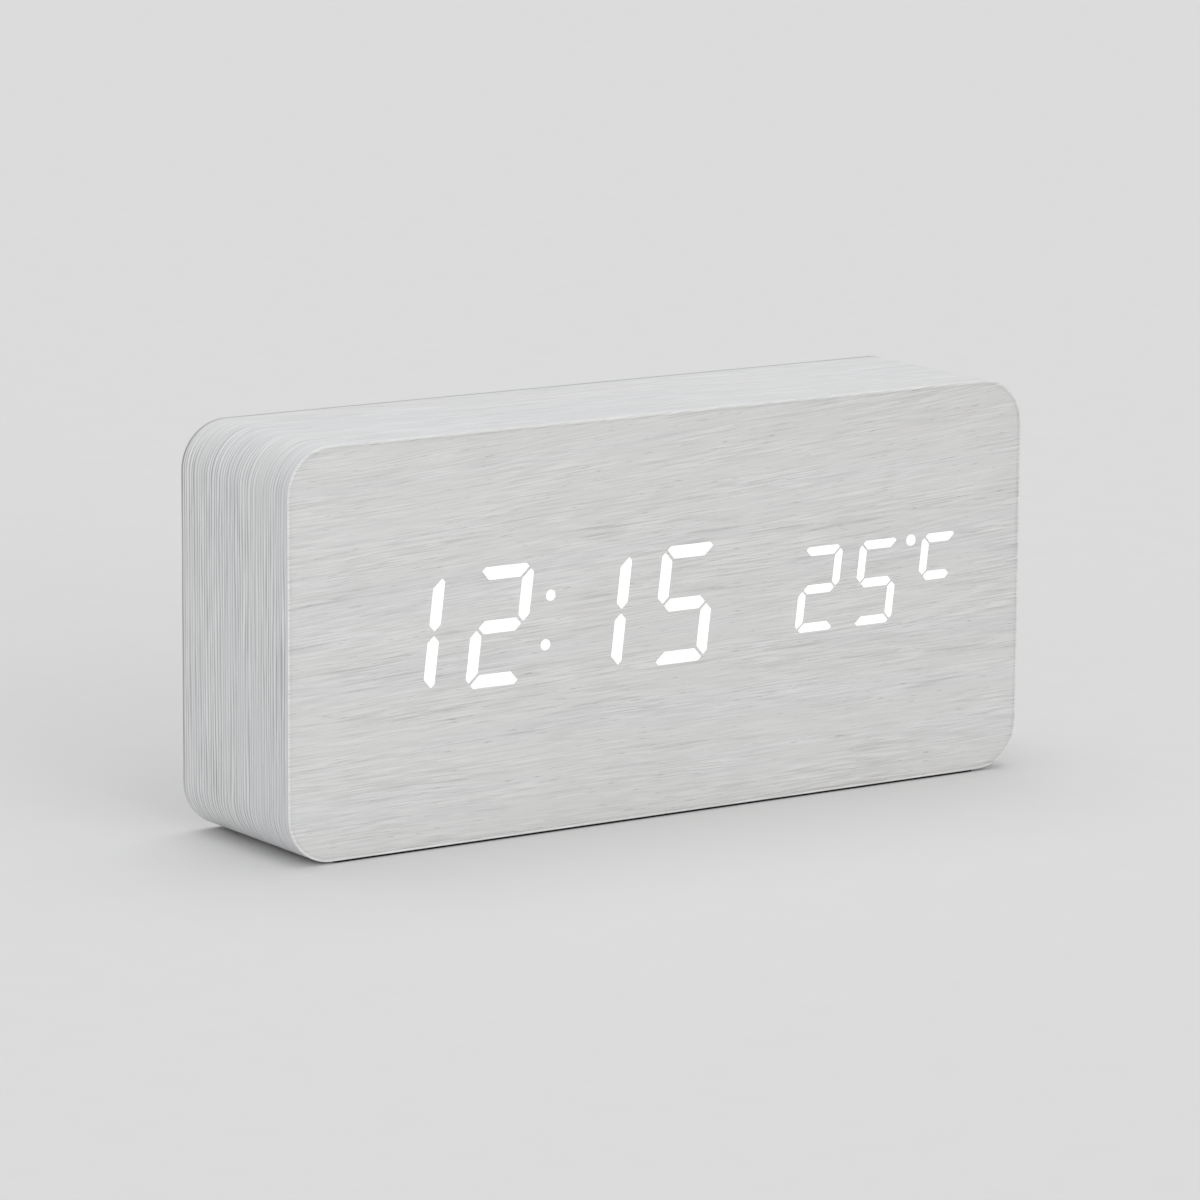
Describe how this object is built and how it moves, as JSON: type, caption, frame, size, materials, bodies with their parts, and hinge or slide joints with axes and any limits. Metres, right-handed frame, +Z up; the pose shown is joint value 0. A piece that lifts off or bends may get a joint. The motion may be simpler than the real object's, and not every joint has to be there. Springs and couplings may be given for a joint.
{
  "type": "digital desk clock",
  "caption": "Slab-shaped wood-grain desk clock whose segment digits glow through the front veneer, with push buttons, a power socket and a battery door at the back.",
  "frame": {"origin": "on the table plane, under the middle of the case", "axes": "+X to the right of someone facing the digits, +Y from front to back, +Z up"},
  "size_m": [0.2, 0.0454, 0.0929],
  "materials": {
    "white_veneer": "white-washed fine wood grain, satin",
    "fibreboard": "raw medium-density fibreboard",
    "segment_glow": "veneer lit from behind, white",
    "diffuser_resin": "milky resin",
    "mask_film": "black light mask film",
    "housing_plastic": "white reflector plastic",
    "led_body": "white chip with a yellow phosphor",
    "circuit_board": "green solder mask",
    "chip_epoxy": "black moulded epoxy",
    "socket_nylon": "natural nylon",
    "ribbon_grey": "grey ribbon insulation",
    "screw_steel": "zinc-plated steel",
    "black_screw": "black-plated steel",
    "can_metal": "plated can",
    "capacitor_sleeve": "dark blue sleeve",
    "black_abs": "black ABS, fine spark texture",
    "button_plastic": "black ABS, smooth satin",
    "switch_plastic": "black switch body",
    "jack_plastic": "black moulded socket",
    "jack_metal": "nickel-plated pin",
    "buzzer_plastic": "black buzzer case",
    "microphone_can": "plain capsule",
    "sensor_epoxy": "dark epoxy bead",
    "cell_sleeve": "plain grey sleeve, no print",
    "contact_nickel": "nickel-plated spring steel",
    "lead_red": "red insulation",
    "lead_black": "black insulation",
    "foot_rubber": "dark thin rubber pad"
  },
  "bodies": {
    "case": {"edge_band": "white_veneer", "front_veneer": "white_veneer", "rear_veneer": "white_veneer", "case_core": "fibreboard", "glow_hours": "segment_glow", "glow_colon": "segment_glow", "glow_minutes": "segment_glow", "glow_temperature": "segment_glow", "time_diffusers": "diffuser_resin", "temperature_diffusers": "diffuser_resin", "light_mask": "mask_film", "digit_housing": "housing_plastic", "led_chips": "led_body", "display_board": "circuit_board", "main_board": "circuit_board", "display_driver": "chip_epoxy", "microcontroller": "chip_epoxy", "display_socket": "socket_nylon", "main_socket": "socket_nylon", "display_ribbon": "ribbon_grey", "display_screws": "screw_steel", "board_screws": "screw_steel", "cover_screws": "black_screw", "crystal": "can_metal", "capacitor": "capacitor_sleeve", "rear_cover": "black_abs", "tact_switches": "switch_plastic", "dc_jack": "jack_plastic", "dc_jack_pin": "jack_metal", "buzzer": "buzzer_plastic", "microphone": "microphone_can", "temperature_sensor": "sensor_epoxy", "battery_cells": "cell_sleeve", "contacts_left": "contact_nickel", "contacts_right": "contact_nickel", "lead_positive": "lead_red", "lead_negative": "lead_black", "rubber_feet": "foot_rubber"},
    "set_key": {"set_button": "button_plastic", "set_plunger": "switch_plastic"},
    "up_key": {"up_button": "button_plastic", "up_plunger": "switch_plastic"},
    "down_key": {"down_button": "button_plastic", "down_plunger": "switch_plastic"},
    "door": {"battery_door": "black_abs"}
  },
  "joints": [
    {"name": "set_press", "type": "slide", "parent": "case", "child": "set_key", "axis": [0, -1, 0], "range_m": [0, 0.0005], "stiffness_N_per_m": 800},
    {"name": "up_press", "type": "slide", "parent": "case", "child": "up_key", "axis": [0, -1, 0], "range_m": [0, 0.0005], "stiffness_N_per_m": 800},
    {"name": "down_press", "type": "slide", "parent": "case", "child": "down_key", "axis": [0, -1, 0], "range_m": [0, 0.0005], "stiffness_N_per_m": 800},
    {"name": "door_swing", "type": "hinge", "parent": "case", "child": "door", "pos_m": [-0.07535, 0.02125, 0.0467], "axis": [0, 0, 1], "range_deg": [0, 50]}
  ]
}
